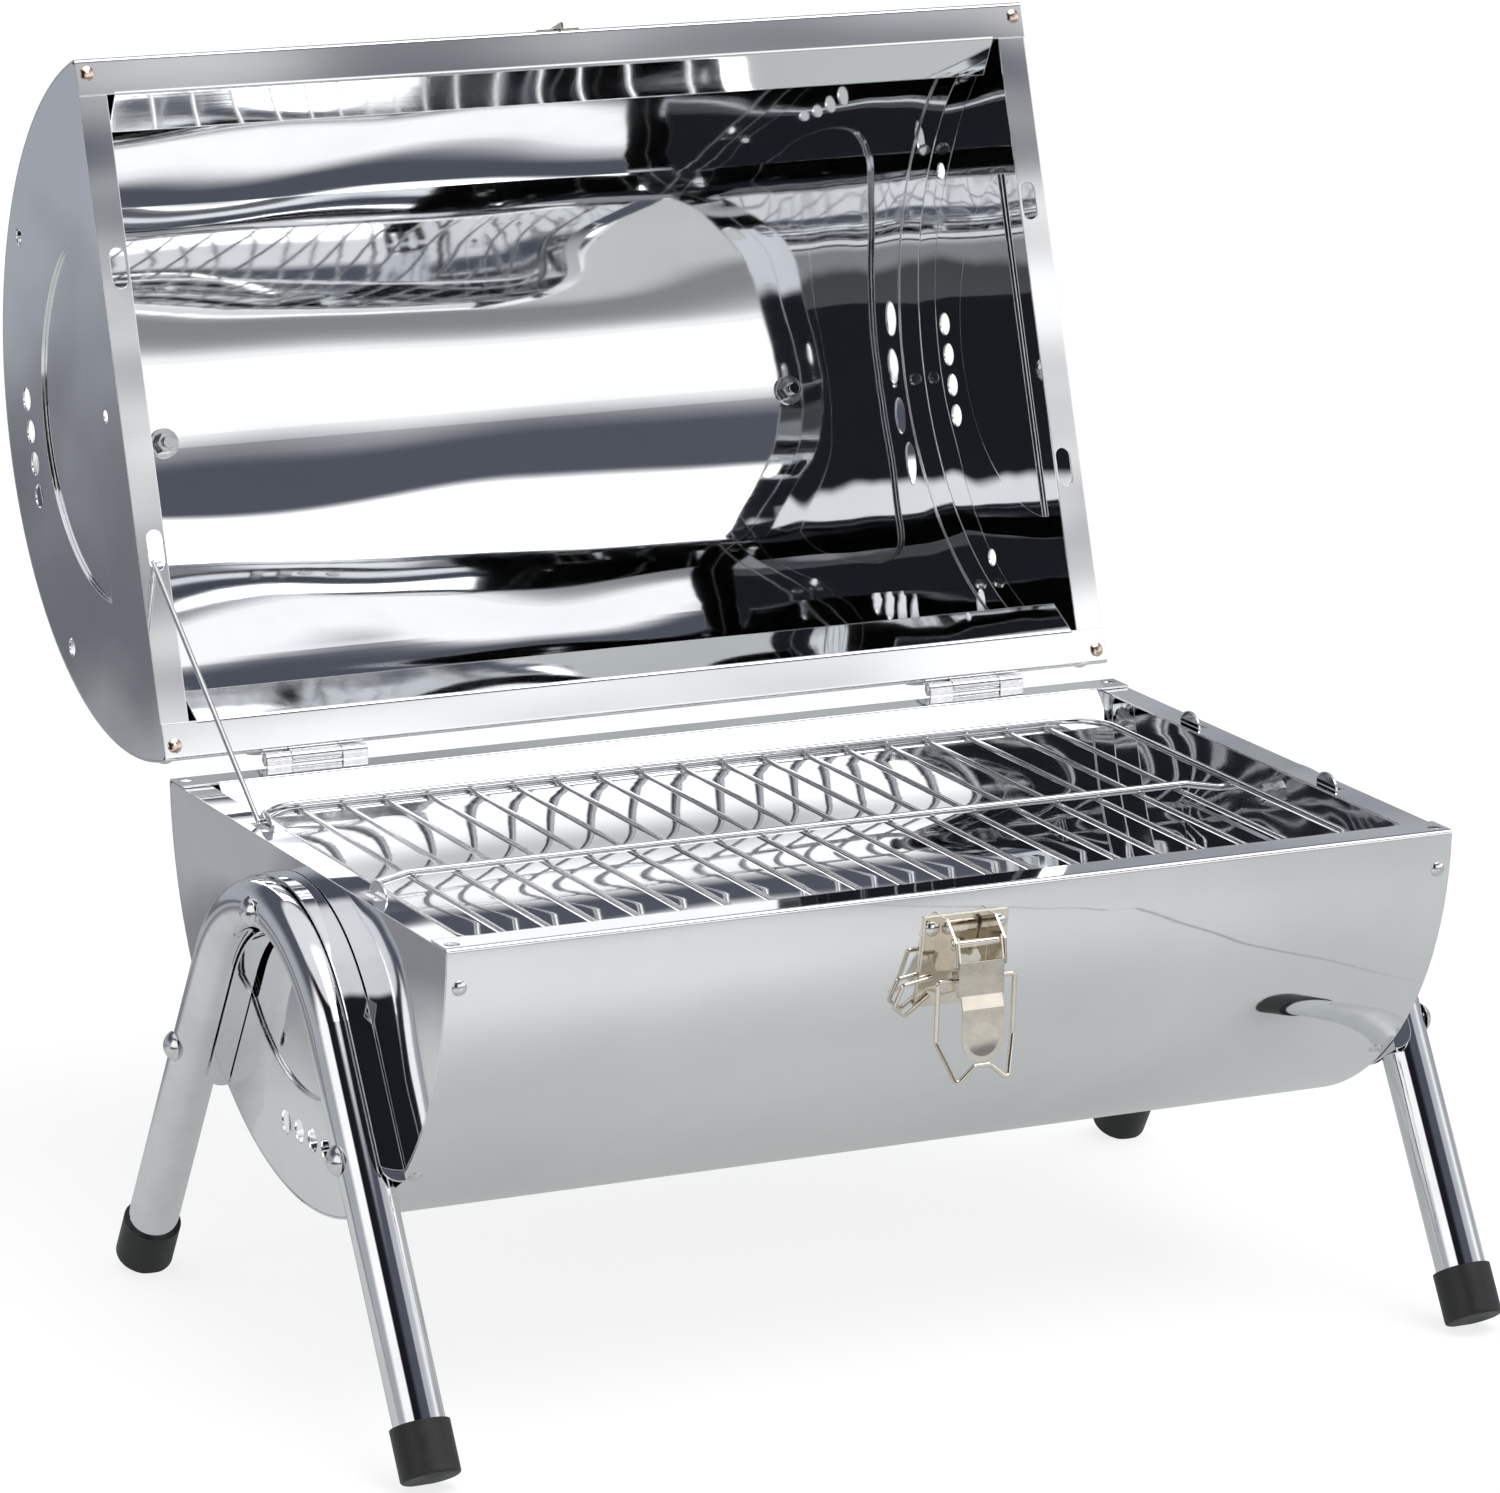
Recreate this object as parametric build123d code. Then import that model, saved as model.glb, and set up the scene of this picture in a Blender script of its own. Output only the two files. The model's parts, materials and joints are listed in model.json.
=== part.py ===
from build123d import *
import math
import os

# A folding charcoal grill in polished sheet steel: two equal half-round shells hinged along
# the back, each closed by two pressed end plates, on two bent-tube legs.
#
# Frame: +Z up, X along the barrel, -Y is the front (latch side), +Y the back (hinge side).
# The lid is drawn open, the legs down. The parts are drawn about the middle of the bowl and
# then moved so that the origin is on the floor under the middle of the open grill's outline.
# "Rim" heights are measured from the plane of the bowl's top lips.

# ---------------------------------------------------------------- driving sizes (mm)
LENGTH = 420.0                 # over the end plates
RADIUS = 140.0                 # outside of both half-round shells
CENTRE_RISE = 3.5              # shell centre above the rim plane
RIM_Z = 202.6                  # rim plane above the floor
RIM_GAP = 1.6                  # between the two rims when the lid is shut
SHEET = 0.8
BOWL_SHIFT = -98.7             # middle of the bowl, from the origin, along Y
LIP = 15.0                     # flat lip along the front and back of each shell
STRIP = 18.4                   # return strip folded 45 degrees down from the lip
STRIP_LENGTH = 390.0
RUNNING_FIT = 0.05             # clearance of everything that turns
SNUG_FIT = 0.01                # clearance of what is riveted or screwed tight
CORNER = 1.6                   # outside bend between wall and lip
FOLD = 2.2                     # outside and inside bends between lip and strip
FOLD_INSIDE = 1.4

# end plates: shallow trays let into the ends of the shells
PLATE_FIT = 0.1                # between plate flange and shell
PLATE_DROP = 1.0               # rim flange below the rim plane
PLATE_CORNER = 3.0
RIM_FLANGE_INSET = 4.0         # the rim flange stops short of the arc flange
ARC_FLANGE = 10.0
RIM_FLANGE = 12.0
PANEL_TOP = -38.0              # pressed panel: chord height, arc radius and arc centre
PANEL_RADIUS = 75.5
PANEL_CENTRE = -16.5
PANEL_PRESS = 1.5
VENT_RADIUS = 4.75
VENT_PITCH = 13.3
VENT_HEIGHT = -108.5
SIDE_HOLE_Y = 84.0
SIDE_HOLE_HEIGHT = -92.6
SIDE_HOLE_RADIUS = 3.6
SLOT_Y = 56.3                  # slots of the lid, lanced tabs of the bowl
SLOT_X = 202.3
SLOT_LENGTH = 16.0
SLOT_WIDTH = 6.5
TAB_HEIGHT = 5.6
LANCE_WIDTH = 3.2              # opening that a tab was bent up from
LANCE_STEP = 2.2               # middle of that opening outside the slot line

# rivets
RIVET_RADIUS = 1.6
RIVET_HEAD = 3.0
RIVET_HEAD_HEIGHT = 1.2
RIVET_BUTTON = 2.55            # formed end of the rivet, inside the shell
RIVET_BUTTON_HEIGHT = 0.8
DRILL_LENGTH = 12.0
BOWL_CORNER_HEAD = 0.5         # low heads, which face each other when the lid is shut
LID_CORNER_HEAD = 0.95
RIVET_X = 204.7
WALL_RIVET_HEIGHT = -15.5
ARC_RIVET_STEP = 43.0          # degrees either side of the lowest line
CORNER_RIVET_X = 205.5
CORNER_RIVET_Y = 134.0

# lid hinges
LID_OPEN = 108.3               # degrees from shut to fully open
HINGE_X = 147.0
HINGE_Y = 143.2
HINGE_RISE = 2.4               # hinge axis above the rim plane
HINGE_WIDTH = 43.0
BARREL_RADIUS = 2.7
PIN_RADIUS = 1.25
PIN_HEAD = 2.1
PIN_HEAD_HEIGHT = 0.9
KNUCKLE_GAP = 0.3
OUTER_KNUCKLE = 10.6
LEAF_GAP = 0.15
LEAF_SHEET = 1.0
LEAF_HEIGHT = 21.0
LID_LEAF_HEIGHT = 17.0
LEAF_DROP = 1.0                # bowl leaf starts this far below the rim
LEAF_CLEAR = 0.5               # lid leaf starts this far above the barrel
ARM_SHEET = 1.0                # arms between leaf and barrel
BOWL_ARM_GAP = 0.12
LID_ARM_GAP = 0.06
LEAF_RIVET_X = 13.0
LEAF_RIVET_HEIGHT = -12.5

# legs
TUBE_RADIUS = 10.0
TUBE_BORE = 8.8
LEG_X = 221.5
APEX_RISE = -17.5
ARCH_RADIUS = 67.5
SPLAY = 31.6                   # degrees of each straight leg from upright
FOOT_Y = 148.5
CAP_RADIUS = 11.5
CAP_LENGTH = 20.5
CAP_FLOOR = 3.0
SADDLE_GAP = 0.4
SADDLE_SHEET = 1.0
SADDLE_INSIDE = 10.5
SADDLE_DEPTH = 9.0
SADDLE_END = 64.0              # along the straight leg from the end of the arch
SADDLE_ROUND = 7.5
BOLT_RADIUS = 2.5
BOLT_HEAD = 6.0
BOLT_HEAD_HEIGHT = 3.8
NUT_FLATS = 8.0
NUT_HEIGHT = 4.0
WASHER_RADIUS = 5.0
WASHER_HEIGHT = 1.0

# cooking grate
GRATE_X = 187.5
GRATE_Y = 113.0
GRATE_CORNER = 20.0
GRATE_RISE = -8.8
FRAME_WIRE = 1.5
BAR_WIRE = 1.1
BAR_COUNT = 19
BAR_PITCH = 18.4
BAR_HALF = 112.3
MIDDLE_Y = -2.5
MIDDLE_REACH = 194.0
WIRE_TOUCH = 0.01              # welded wires meet at a point
JOGGLE_FROM = 168.0            # the middle wire dips under the frame between these
JOGGLE_TO = 183.0
JOGGLE_BEND = 5.0

# lid stay
STAY_WIRE = 1.1
STAY_X = -204.0
STAY_FOOT_Y = 60.0
STAY_FOOT_RISE = 0.4
STAY_FOOT_REACH = 4.0
STAY_TIP_REACH = 3.0
STAY_GRIP_S = 79.0             # where it meets the lid, from the hinge-side edge

# latch on the front wall
LATCH_Y = -150.2               # lever pivot
LATCH_RISE = -18.5
LATCH_PIN = 1.5
LATCH_PIN_HEAD = 2.3
BASE_HALF = 17.5
BASE_TOP = -9.5
BASE_END = -46.5
BASE_SHEET = 1.2
BASE_RIVET_X = 14.0
BASE_RIVET_HEIGHT = -14.2
EAR_IN = 9.6                   # ears of the base, outside the lever's walls
EAR_OUT = 10.6
LEVER_HALF = 9.4
LEVER_SHEET = 0.8
LEVER_FACE = 3.4               # lever face in front of its pivot
LEVER_FACE_TOP = -25.0
LEVER_BOX_END = -38.5
LEVER_TIP = -63.5
TONGUE_HALF = 8.6
TONGUE_STEP = 1.6              # the tongue stands this far in front of the face
CREASE = 4.5                   # height of the slope between them
DISH_RADIUS = 60.0             # shallow thumb dish in the tongue
DISH_DEPTH = 0.35
BAIL_DROP = 14.0               # bail pivot below and behind the lever pivot
BAIL_BACK = 1.0
BAIL_WIRE = 1.0
BAIL_HALF = 16.0
BAIL_FREE_HALF = 10.6
BAIL_END = 7.6                 # its turned-in ends reach this far from the middle
BAIL_LENGTH = 39.0
BAIL_BEND = 0.61               # share of the length above its bend
BAIL_LEAN = 1.5                # the legs lean back this far down to the bend
BAIL_KICK = -5.5               # the free end stands this far forward
BAIL_NOTCH = 6.5
NOTCH_HALF = 3.2
LOOP_WIRE = 0.9                # wire eye on the left edge of the base
LOOP_CLEAR = 0.08
LOOP_STAND = LEAF_GAP + BASE_SHEET + LOOP_WIRE + LOOP_CLEAR

# catch for the bail on the lid's front wall, heights from the lid's own rim
STRIKE_TOP = -3.0
STRIKE_END = -25.0
STRIKE_HOOK = -4.6
STRIKE_HALF = 9.0
STRIKE_SHEET = 1.0
STRIKE_PROUD = 1.6
STRIKE_RIVET_X = 5.5

# carrying handle on the lid's crown
HANDLE_X = 143.5
HANDLE_ROD = 4.0
HANDLE_STAND = 36.0
HANDLE_BEND = 14.0
HANDLE_COLLAR = 7.0
HANDLE_COLLAR_HEIGHT = 3.0
HANDLE_STUD = 2.5
HANDLE_STUD_REACH = 8.0        # into the lid
HANDLE_WASHER = 6.2
NUT_LIFT = 0.16                # flat washer bridging the curved crown

HALF = LENGTH / 2
HINGE_POINT = (0, HINGE_Y, RIM_Z + HINGE_RISE)
APEX_POINT = (0, 0, RIM_Z + APEX_RISE)
PLATE_RADIUS = RADIUS - SHEET - PLATE_FIT


# ---------------------------------------------------------------- helpers
def slab(sketch, x_from, x_to):
    """Extrude a sketch drawn in (y, z) from one x to another."""
    return extrude(Plane.YZ.offset(x_from) * sketch, amount=x_to - x_from)


def rod_x(radius, x_from, x_to, y=0.0, z=0.0):
    return Pos((x_from + x_to) / 2, y, z) * Rot(0, 90, 0) * Cylinder(radius, abs(x_to - x_from))


def block(x_from, x_to, y_from, y_to, z_from, z_to):
    middle = Pos((x_from + x_to) / 2, (y_from + y_to) / 2, (z_from + z_to) / 2)
    return middle * Box(abs(x_to - x_from), abs(y_to - y_from), abs(z_to - z_from))


def dome(radius, height):
    """A low domed head that sits on z = 0."""
    ball = (radius ** 2 + height ** 2) / (2 * height)
    cap = Pos(0, 0, height - ball) * Sphere(ball)
    return cap & block(-radius, radius, -radius, radius, 0, height + 1)


def placed(shape, origin, outward):
    """Put a shape drawn along +Z at a point, looking along a direction."""
    return Plane(origin=origin, z_dir=outward).location * shape


def both_ends(shape):
    return [shape, mirror(shape, about=Plane.YZ)]


def group(shapes, name):
    """One node holding several separate solids."""
    solids = [solid for shape in shapes for solid in shape.solids()]
    result = Compound(children=solids) if len(solids) > 1 else solids[0]
    result.label = name
    return result


def polar(degrees_down, side, radius=RADIUS):
    """A point of the shell and its outward direction, in (y, z) about the rim plane."""
    angle = math.radians(degrees_down)
    outward = (side * math.cos(angle), -math.sin(angle))
    return (radius * outward[0], CENTRE_RISE + radius * outward[1]), outward


def angle_at(height):
    return math.degrees(math.asin((CENTRE_RISE - height) / RADIUS))


def to_bowl(shape):
    return Pos(0, 0, RIM_Z) * shape


def lid_shut(shape):
    """A shape drawn like the bowl, turned over on top of it."""
    return Pos(0, 0, RIM_Z + RIM_GAP) * Rot(180, 0, 0) * shape


def lid_open(shape):
    """A shape of the shut lid, swung open about the hinge axis."""
    back = tuple(-value for value in HINGE_POINT)
    return Pos(*HINGE_POINT) * Rot(-LID_OPEN, 0, 0) * Pos(*back) * shape


# ---------------------------------------------------------------- shells and end plates
def half_round(radius, top):
    """The part of the circle below a level line, in (y, z)."""
    disc = Pos(0, CENTRE_RISE) * Circle(radius)
    return disc & Pos(0, top - radius) * Rectangle(2.2 * radius, 2 * radius)


def softened(sketch, radius):
    top = sketch.vertices().sort_by(Axis.Y)[-2:]
    return fillet(top, radius)


def shell_section():
    outside = softened(half_round(RADIUS, 0), CORNER)
    inside = offset(outside, -SHEET)
    mouth = Pos(0, -SHEET / 2) * Rectangle(2 * (RADIUS - LIP), 2 * SHEET)
    return outside - inside - mouth


def strip_section():
    """The return strip along the back lip, in (y, z)."""
    lip_edge = RADIUS - LIP
    run = STRIP * math.sqrt(0.5)
    step = SHEET * math.sqrt(0.5)
    outline = Polyline(
        (lip_edge, 0),
        (lip_edge - run, -run),
        (lip_edge - run + step, -run - step),
        (lip_edge + SHEET * math.tan(math.pi / 8), -SHEET),
        (lip_edge + 2 * FOLD, -SHEET),
        (lip_edge + 2 * FOLD, 0),
        close=True,
    )
    return make_face(outline)


def folded_section():
    """Shell section with both return strips and rounded folds."""
    strip = strip_section()
    section = shell_section() + strip + mirror(strip, about=Plane.YZ)
    lip_edge = RADIUS - LIP
    inner_edge = lip_edge + SHEET * math.tan(math.pi / 8)
    for side in (-1, 1):
        for corner, radius in (((side * lip_edge, 0), FOLD), ((side * inner_edge, -SHEET), FOLD_INSIDE)):
            nearest = section.vertices().sort_by_distance((corner[0], corner[1], 0))[0]
            section = fillet(nearest, radius)
    return section


def shell():
    body = slab(folded_section(), -STRIP_LENGTH / 2, STRIP_LENGTH / 2)
    plain = shell_section()
    for x_from, x_to in ((-HALF, -STRIP_LENGTH / 2), (STRIP_LENGTH / 2, HALF)):
        body += slab(plain, x_from, x_to)
    return body


def panel_section(grow=0.0):
    disc = Pos(0, PANEL_CENTRE) * Circle(PANEL_RADIUS + grow)
    cut_height = PANEL_TOP + grow
    return disc & Pos(0, cut_height - RADIUS) * Rectangle(4 * RADIUS, 2 * RADIUS)


def end_plate():
    """The right-hand plate, drawn like the bowl's."""
    outline = softened(half_round(PLATE_RADIUS, -PLATE_DROP), PLATE_CORNER)
    wall = outline - offset(outline, -SHEET)
    plate = slab(outline, HALF - SHEET, HALF) + slab(wall, HALF - ARC_FLANGE, HALF)
    flange_half = PLATE_RADIUS - RIM_FLANGE_INSET
    plate += block(HALF - RIM_FLANGE, HALF - SHEET, -flange_half, flange_half,
                   -PLATE_DROP - SHEET, -PLATE_DROP)
    plate += slab(panel_section(SHEET), HALF - PANEL_PRESS - SHEET, HALF - SHEET)
    plate -= slab(panel_section(), HALF - PANEL_PRESS, HALF + 1)
    for step in (-1.5, -0.5, 0.5, 1.5):
        plate -= rod_x(VENT_RADIUS, HALF - 5, HALF + 1, step * VENT_PITCH, VENT_HEIGHT)
    for side in (-1, 1):
        plate -= rod_x(SIDE_HOLE_RADIUS, HALF - 5, HALF + 1, side * SIDE_HOLE_Y, SIDE_HOLE_HEIGHT)
    return plate - rod_x(BOLT_RADIUS + RUNNING_FIT, HALF - 5, HALF + 1, 0, APEX_RISE)


def slot_cut(side):
    """The rounded slot through a lid rim flange."""
    outline = SlotOverall(SLOT_LENGTH, SLOT_WIDTH, rotation=90)
    cutter = extrude(outline, amount=4, both=True)
    return Pos(SLOT_X, side * SLOT_Y, 0) * cutter


def lance_cut(side):
    """The opening that a bowl tab was bent up from."""
    return Pos(SLOT_X + LANCE_STEP, side * SLOT_Y, 0) * extrude(
        Rectangle(LANCE_WIDTH, SLOT_LENGTH - 1), amount=4, both=True)


def tab(side):
    """A half-moon tab standing on a bowl rim flange."""
    half_moon = Pos(side * SLOT_Y, -PLATE_DROP - SHEET / 2) * (
        Ellipse(SLOT_LENGTH / 2, TAB_HEIGHT + SHEET / 2)
        & Pos(0, RADIUS / 2) * Rectangle(SLOT_LENGTH, RADIUS))
    return slab(half_moon, SLOT_X - 0.7, SLOT_X + 0.1)


def rivet_frames():
    """Where the rivets of one right-hand end sit: point, direction, group."""
    frames = []
    for side in (-1, 1):
        point, outward = polar(angle_at(WALL_RIVET_HEIGHT), side)
        frames.append(((RIVET_X, *point), (0, *outward), "wall"))
        point, outward = polar(90 - ARC_RIVET_STEP, side)
        frames.append(((RIVET_X, *point), (0, *outward), "wall"))
        frames.append(((CORNER_RIVET_X, side * CORNER_RIVET_Y, 0), (0, 0, 1), "corner"))
    point, outward = polar(90, 1)
    frames.append(((RIVET_X, *point), (0, *outward), "wall"))
    return frames


def rivet(grip, head_height=RIVET_HEAD_HEIGHT):
    """A domed rivet: head on z = 0, shank downwards through the grip, button below."""
    shank = Pos(0, 0, -(grip + 0.6) / 2) * Cylinder(RIVET_RADIUS, grip + 0.6)
    button = Pos(0, 0, -grip - 0.05 - RIVET_BUTTON_HEIGHT / 2) * Cylinder(RIVET_BUTTON, RIVET_BUTTON_HEIGHT)
    return dome(RIVET_HEAD, head_height) + shank + button


def rivet_holes(frames):
    drill = Cylinder(RIVET_RADIUS + SNUG_FIT, DRILL_LENGTH)
    return [placed(drill, point, outward) for point, outward, kind in frames]


def end_rivets(kind, head_height=RIVET_HEAD_HEIGHT):
    """The rivets of both ends that hold the plates in a shell."""
    grip = 2 * SHEET + PLATE_FIT if kind == "wall" else PLATE_DROP + SHEET
    rivets = []
    for point, outward, group_name in rivet_frames():
        if group_name == kind:
            rivets += both_ends(placed(rivet(grip, head_height), point, outward))
    return rivets


# ---------------------------------------------------------------- hinges
def leaf_rivet_frames(hinge_x, side):
    point, outward = polar(angle_at(LEAF_RIVET_HEIGHT), side)
    steps = (-LEAF_RIVET_X, LEAF_RIVET_X)
    return [((hinge_x + step, *point), (0, *outward), "leaf") for step in steps]


def all_leaf_rivet_frames(side):
    return leaf_rivet_frames(-HINGE_X, side) + leaf_rivet_frames(HINGE_X, side)


def knuckle_spans(hinge_x, centre):
    """x ranges of the knuckles of one leaf: the centre one or the outer two."""
    left = hinge_x - HINGE_WIDTH / 2
    right = hinge_x + HINGE_WIDTH / 2
    if centre:
        return [(left + OUTER_KNUCKLE + KNUCKLE_GAP, right - OUTER_KNUCKLE - KNUCKLE_GAP)]
    return [(left, left + OUTER_KNUCKLE), (right - OUTER_KNUCKLE, right)]


def leaf_band(centre_z, z_low, z_high):
    """Strip wrapped against the outside of a shell's back wall."""
    ring = Circle(RADIUS + LEAF_GAP + LEAF_SHEET) - Circle(RADIUS + LEAF_GAP)
    keep = Pos(RADIUS, (z_low + z_high) / 2 - centre_z) * Rectangle(RADIUS, z_high - z_low)
    return Pos(0, centre_z) * (ring & keep)


def hinge_leaf(hinge_x, for_lid):
    axis_z = RIM_Z + HINGE_RISE
    if for_lid:
        centre_z = RIM_Z + RIM_GAP - CENTRE_RISE
        low = axis_z + BARREL_RADIUS + LEAF_CLEAR
        high = low + LID_LEAF_HEIGHT
        arm_low, arm_high = axis_z, low + LEAF_SHEET
        arm_inner = RADIUS + LID_ARM_GAP
    else:
        centre_z = RIM_Z + CENTRE_RISE
        high = RIM_Z - LEAF_DROP
        low = high - LEAF_HEIGHT
        arm_low, arm_high = high - LEAF_SHEET, axis_z
        arm_inner = RADIUS + BOWL_ARM_GAP
    leaf = slab(leaf_band(centre_z, low, high), hinge_x - HINGE_WIDTH / 2, hinge_x + HINGE_WIDTH / 2)
    for x_from, x_to in knuckle_spans(hinge_x, for_lid):
        leaf += block(x_from, x_to, arm_inner, arm_inner + ARM_SHEET, arm_low, arm_high)
        leaf += rod_x(BARREL_RADIUS, x_from, x_to, HINGE_Y, axis_z)
    return leaf - rod_x(PIN_RADIUS + RUNNING_FIT, hinge_x - 30, hinge_x + 30, HINGE_Y, axis_z)


def hinge_pin(hinge_x):
    half = HINGE_WIDTH / 2
    axis_z = RIM_Z + HINGE_RISE
    pin = rod_x(PIN_RADIUS, hinge_x - half - 0.3, hinge_x + half + 0.3, HINGE_Y, axis_z)
    for side in (-1, 1):
        head = dome(PIN_HEAD, PIN_HEAD_HEIGHT)
        pin += placed(head, (hinge_x + side * (half + RUNNING_FIT), HINGE_Y, axis_z), (side, 0, 0))
    return pin


# ---------------------------------------------------------------- legs
def arch_points(straight):
    """Ends of the straights and tangent points of the arch, in (y, z)."""
    angle = math.radians(SPLAY)
    centre = APEX_RISE - ARCH_RADIUS
    tangent = (ARCH_RADIUS * math.cos(angle), centre + ARCH_RADIUS * math.sin(angle))
    end = (tangent[0] + straight * math.sin(angle), tangent[1] - straight * math.cos(angle))
    return tangent, end


def arch_path(straight, x):
    tangent, end = arch_points(straight)
    top = (x, 0, RIM_Z + APEX_RISE)
    left = Line((x, -end[0], RIM_Z + end[1]), (x, -tangent[0], RIM_Z + tangent[1]))
    arch = ThreePointArc(left @ 1, top, (x, tangent[0], RIM_Z + tangent[1]))
    right = Line(arch @ 1, (x, end[0], RIM_Z + end[1]))
    return Wire([left, arch, right])


def swept(section, path):
    """Sweep a section whose local x lies along global X."""
    start = Plane(origin=path @ 0, x_dir=(1, 0, 0), z_dir=path % 0)
    return sweep(start * section, path=path)


def leg_length():
    tangent, end = arch_points(0)
    return (FOOT_Y - tangent[0]) / math.sin(math.radians(SPLAY))


def leg_holes():
    """Bores for the pivot bolt and the two side screws."""
    bores = rod_x(BOLT_RADIUS + RUNNING_FIT, 200, 240, 0, RIM_Z + APEX_RISE)
    for side in (-1, 1):
        bores += rod_x(BOLT_RADIUS + 2 * SNUG_FIT, 200, 240, side * SIDE_HOLE_Y, RIM_Z + SIDE_HOLE_HEIGHT)
    return bores


def leg_tube():
    path = arch_path(leg_length() - CAP_FLOOR, LEG_X)
    return swept(Circle(TUBE_RADIUS) - Circle(TUBE_BORE), path) - leg_holes()


def saddle_corner(side):
    """Cutter that rounds the lower end of the saddle's side walls."""
    tangent, end = arch_points(SADDLE_END)
    angle = math.radians(SPLAY)
    down = (0, side * math.sin(angle), -math.cos(angle))
    tip = (HALF + SADDLE_GAP + SADDLE_DEPTH, side * end[0], RIM_Z + end[1])
    corner = Pos(-SADDLE_ROUND / 2 + 0.5, SADDLE_ROUND / 2 - 0.5) * Rectangle(
        SADDLE_ROUND + 1, SADDLE_ROUND + 1)
    corner -= Pos(-SADDLE_ROUND, SADDLE_ROUND) * Circle(SADDLE_ROUND)
    frame = Plane(origin=tip, x_dir=down, z_dir=(0, -down[2], down[1]))
    return extrude(frame * corner, amount=2 * SADDLE_INSIDE, both=True)


def saddle():
    """Pressed channel between the end plate and the tube, following the arch."""
    path = arch_path(SADDLE_END, LEG_X)
    web_x = HALF + SADDLE_GAP - LEG_X
    half_width = SADDLE_INSIDE + SADDLE_SHEET
    outer = Pos(web_x + SADDLE_DEPTH / 2, 0) * Rectangle(SADDLE_DEPTH, 2 * half_width)
    hollow = Pos(web_x + SADDLE_SHEET + SADDLE_DEPTH / 2, 0) * Rectangle(
        SADDLE_DEPTH, 2 * SADDLE_INSIDE)
    channel = swept(outer - hollow, path) - leg_holes()
    return channel - saddle_corner(-1) - saddle_corner(1)


def rubber_cap(side):
    angle = math.radians(SPLAY)
    down = (0, side * math.sin(angle), -math.cos(angle))
    tangent, end = arch_points(leg_length())
    sole = (LEG_X, side * end[0], RIM_Z + end[1])
    body = Pos(0, 0, -CAP_LENGTH / 2) * Cylinder(CAP_RADIUS, CAP_LENGTH)
    body = fillet(body.edges().filter_by(GeomType.CIRCLE).sort_by(Axis.Z)[-1], 1.2)
    body -= Pos(0, 0, -CAP_FLOOR - CAP_LENGTH / 2) * Cylinder(TUBE_RADIUS + 2 * SNUG_FIT, CAP_LENGTH)
    cap = placed(body, sole, down)
    return cap - block(0, 2 * LEG_X, -RADIUS * 2, RADIUS * 2, -30, 0)


def side_screws():
    screws = []
    for side in (-1, 1):
        place = (LEG_X + TUBE_RADIUS + 2 * SNUG_FIT, side * SIDE_HOLE_Y, RIM_Z + SIDE_HOLE_HEIGHT)
        screw = placed(dome(BOLT_HEAD, BOLT_HEAD_HEIGHT), place, (1, 0, 0))
        screw += rod_x(BOLT_RADIUS, HALF + SADDLE_GAP + 0.1, place[0] + 0.5, place[1], place[2])
        screws.append(screw)
    return screws


def pivot_bolt():
    head_x = LEG_X + TUBE_RADIUS + RUNNING_FIT
    height = RIM_Z + APEX_RISE
    bolt = placed(dome(BOLT_HEAD, BOLT_HEAD_HEIGHT), (head_x, 0, height), (1, 0, 0))
    tip_x = HALF - SHEET - WASHER_HEIGHT - NUT_HEIGHT - 1.2
    return bolt + rod_x(BOLT_RADIUS, tip_x, head_x + 0.5, 0, height)


def hex_nut(flats=NUT_FLATS, height=NUT_HEIGHT, bore=BOLT_RADIUS):
    """A nut standing on z = 0."""
    outline = RegularPolygon(flats / 2, 6, major_radius=False) - Circle(bore + SNUG_FIT)
    nut = extrude(outline, amount=height)
    cone = Pos(0, 0, height / 2) * Cylinder(flats * 0.56, height)
    return nut & cone


def washer(radius=WASHER_RADIUS, height=WASHER_HEIGHT, bore=BOLT_RADIUS):
    return extrude(Circle(radius) - Circle(bore + SNUG_FIT), amount=height)


def pivot_washer():
    return placed(washer(), (HALF - SHEET - SNUG_FIT, 0, RIM_Z + APEX_RISE), (-1, 0, 0))


def pivot_nut():
    face = HALF - SHEET - WASHER_HEIGHT - 2 * SNUG_FIT
    return placed(hex_nut(), (face, 0, RIM_Z + APEX_RISE), (-1, 0, 0))


# ---------------------------------------------------------------- cooking grate
def wire(path, radius):
    start = Plane(origin=path @ 0, z_dir=path % 0)
    return sweep(start * Circle(radius), path=path)


def grate_frame():
    outline = RectangleRounded(2 * GRATE_X, 2 * GRATE_Y, GRATE_CORNER).edges()
    path = Wire(outline)
    return Pos(0, 0, RIM_Z + GRATE_RISE) * wire(path, FRAME_WIRE)


def grate_bars():
    height = RIM_Z + GRATE_RISE - FRAME_WIRE - BAR_WIRE - WIRE_TOUCH
    bars = []
    for index in range(BAR_COUNT):
        x = (index - (BAR_COUNT - 1) / 2) * BAR_PITCH
        bars.append(Pos(x, 0, height) * Rot(90, 0, 0) * Cylinder(BAR_WIRE, 2 * BAR_HALF))
    return bars


def grate_middle_wire():
    top = RIM_Z + GRATE_RISE
    low = top - 2 * FRAME_WIRE - WIRE_TOUCH
    half = [(JOGGLE_FROM, top), (JOGGLE_TO, low), (MIDDLE_REACH, low)]
    points = [(-x, MIDDLE_Y, z) for x, z in reversed(half)] + [(x, MIDDLE_Y, z) for x, z in half]
    return wire(FilletPolyline(*points, radius=JOGGLE_BEND), FRAME_WIRE)


# ---------------------------------------------------------------- lid stay
def stay_grip():
    """Where the open lid's slot holds the stay, in (y, z) about the rim plane."""
    dy = RADIUS - STAY_GRIP_S - HINGE_Y
    dz = RIM_GAP + PLATE_DROP + 0.5 * SHEET - HINGE_RISE
    turn = math.radians(-LID_OPEN)
    y = HINGE_Y + dy * math.cos(turn) - dz * math.sin(turn)
    z = HINGE_RISE + dy * math.sin(turn) + dz * math.cos(turn)
    return y, z


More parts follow.
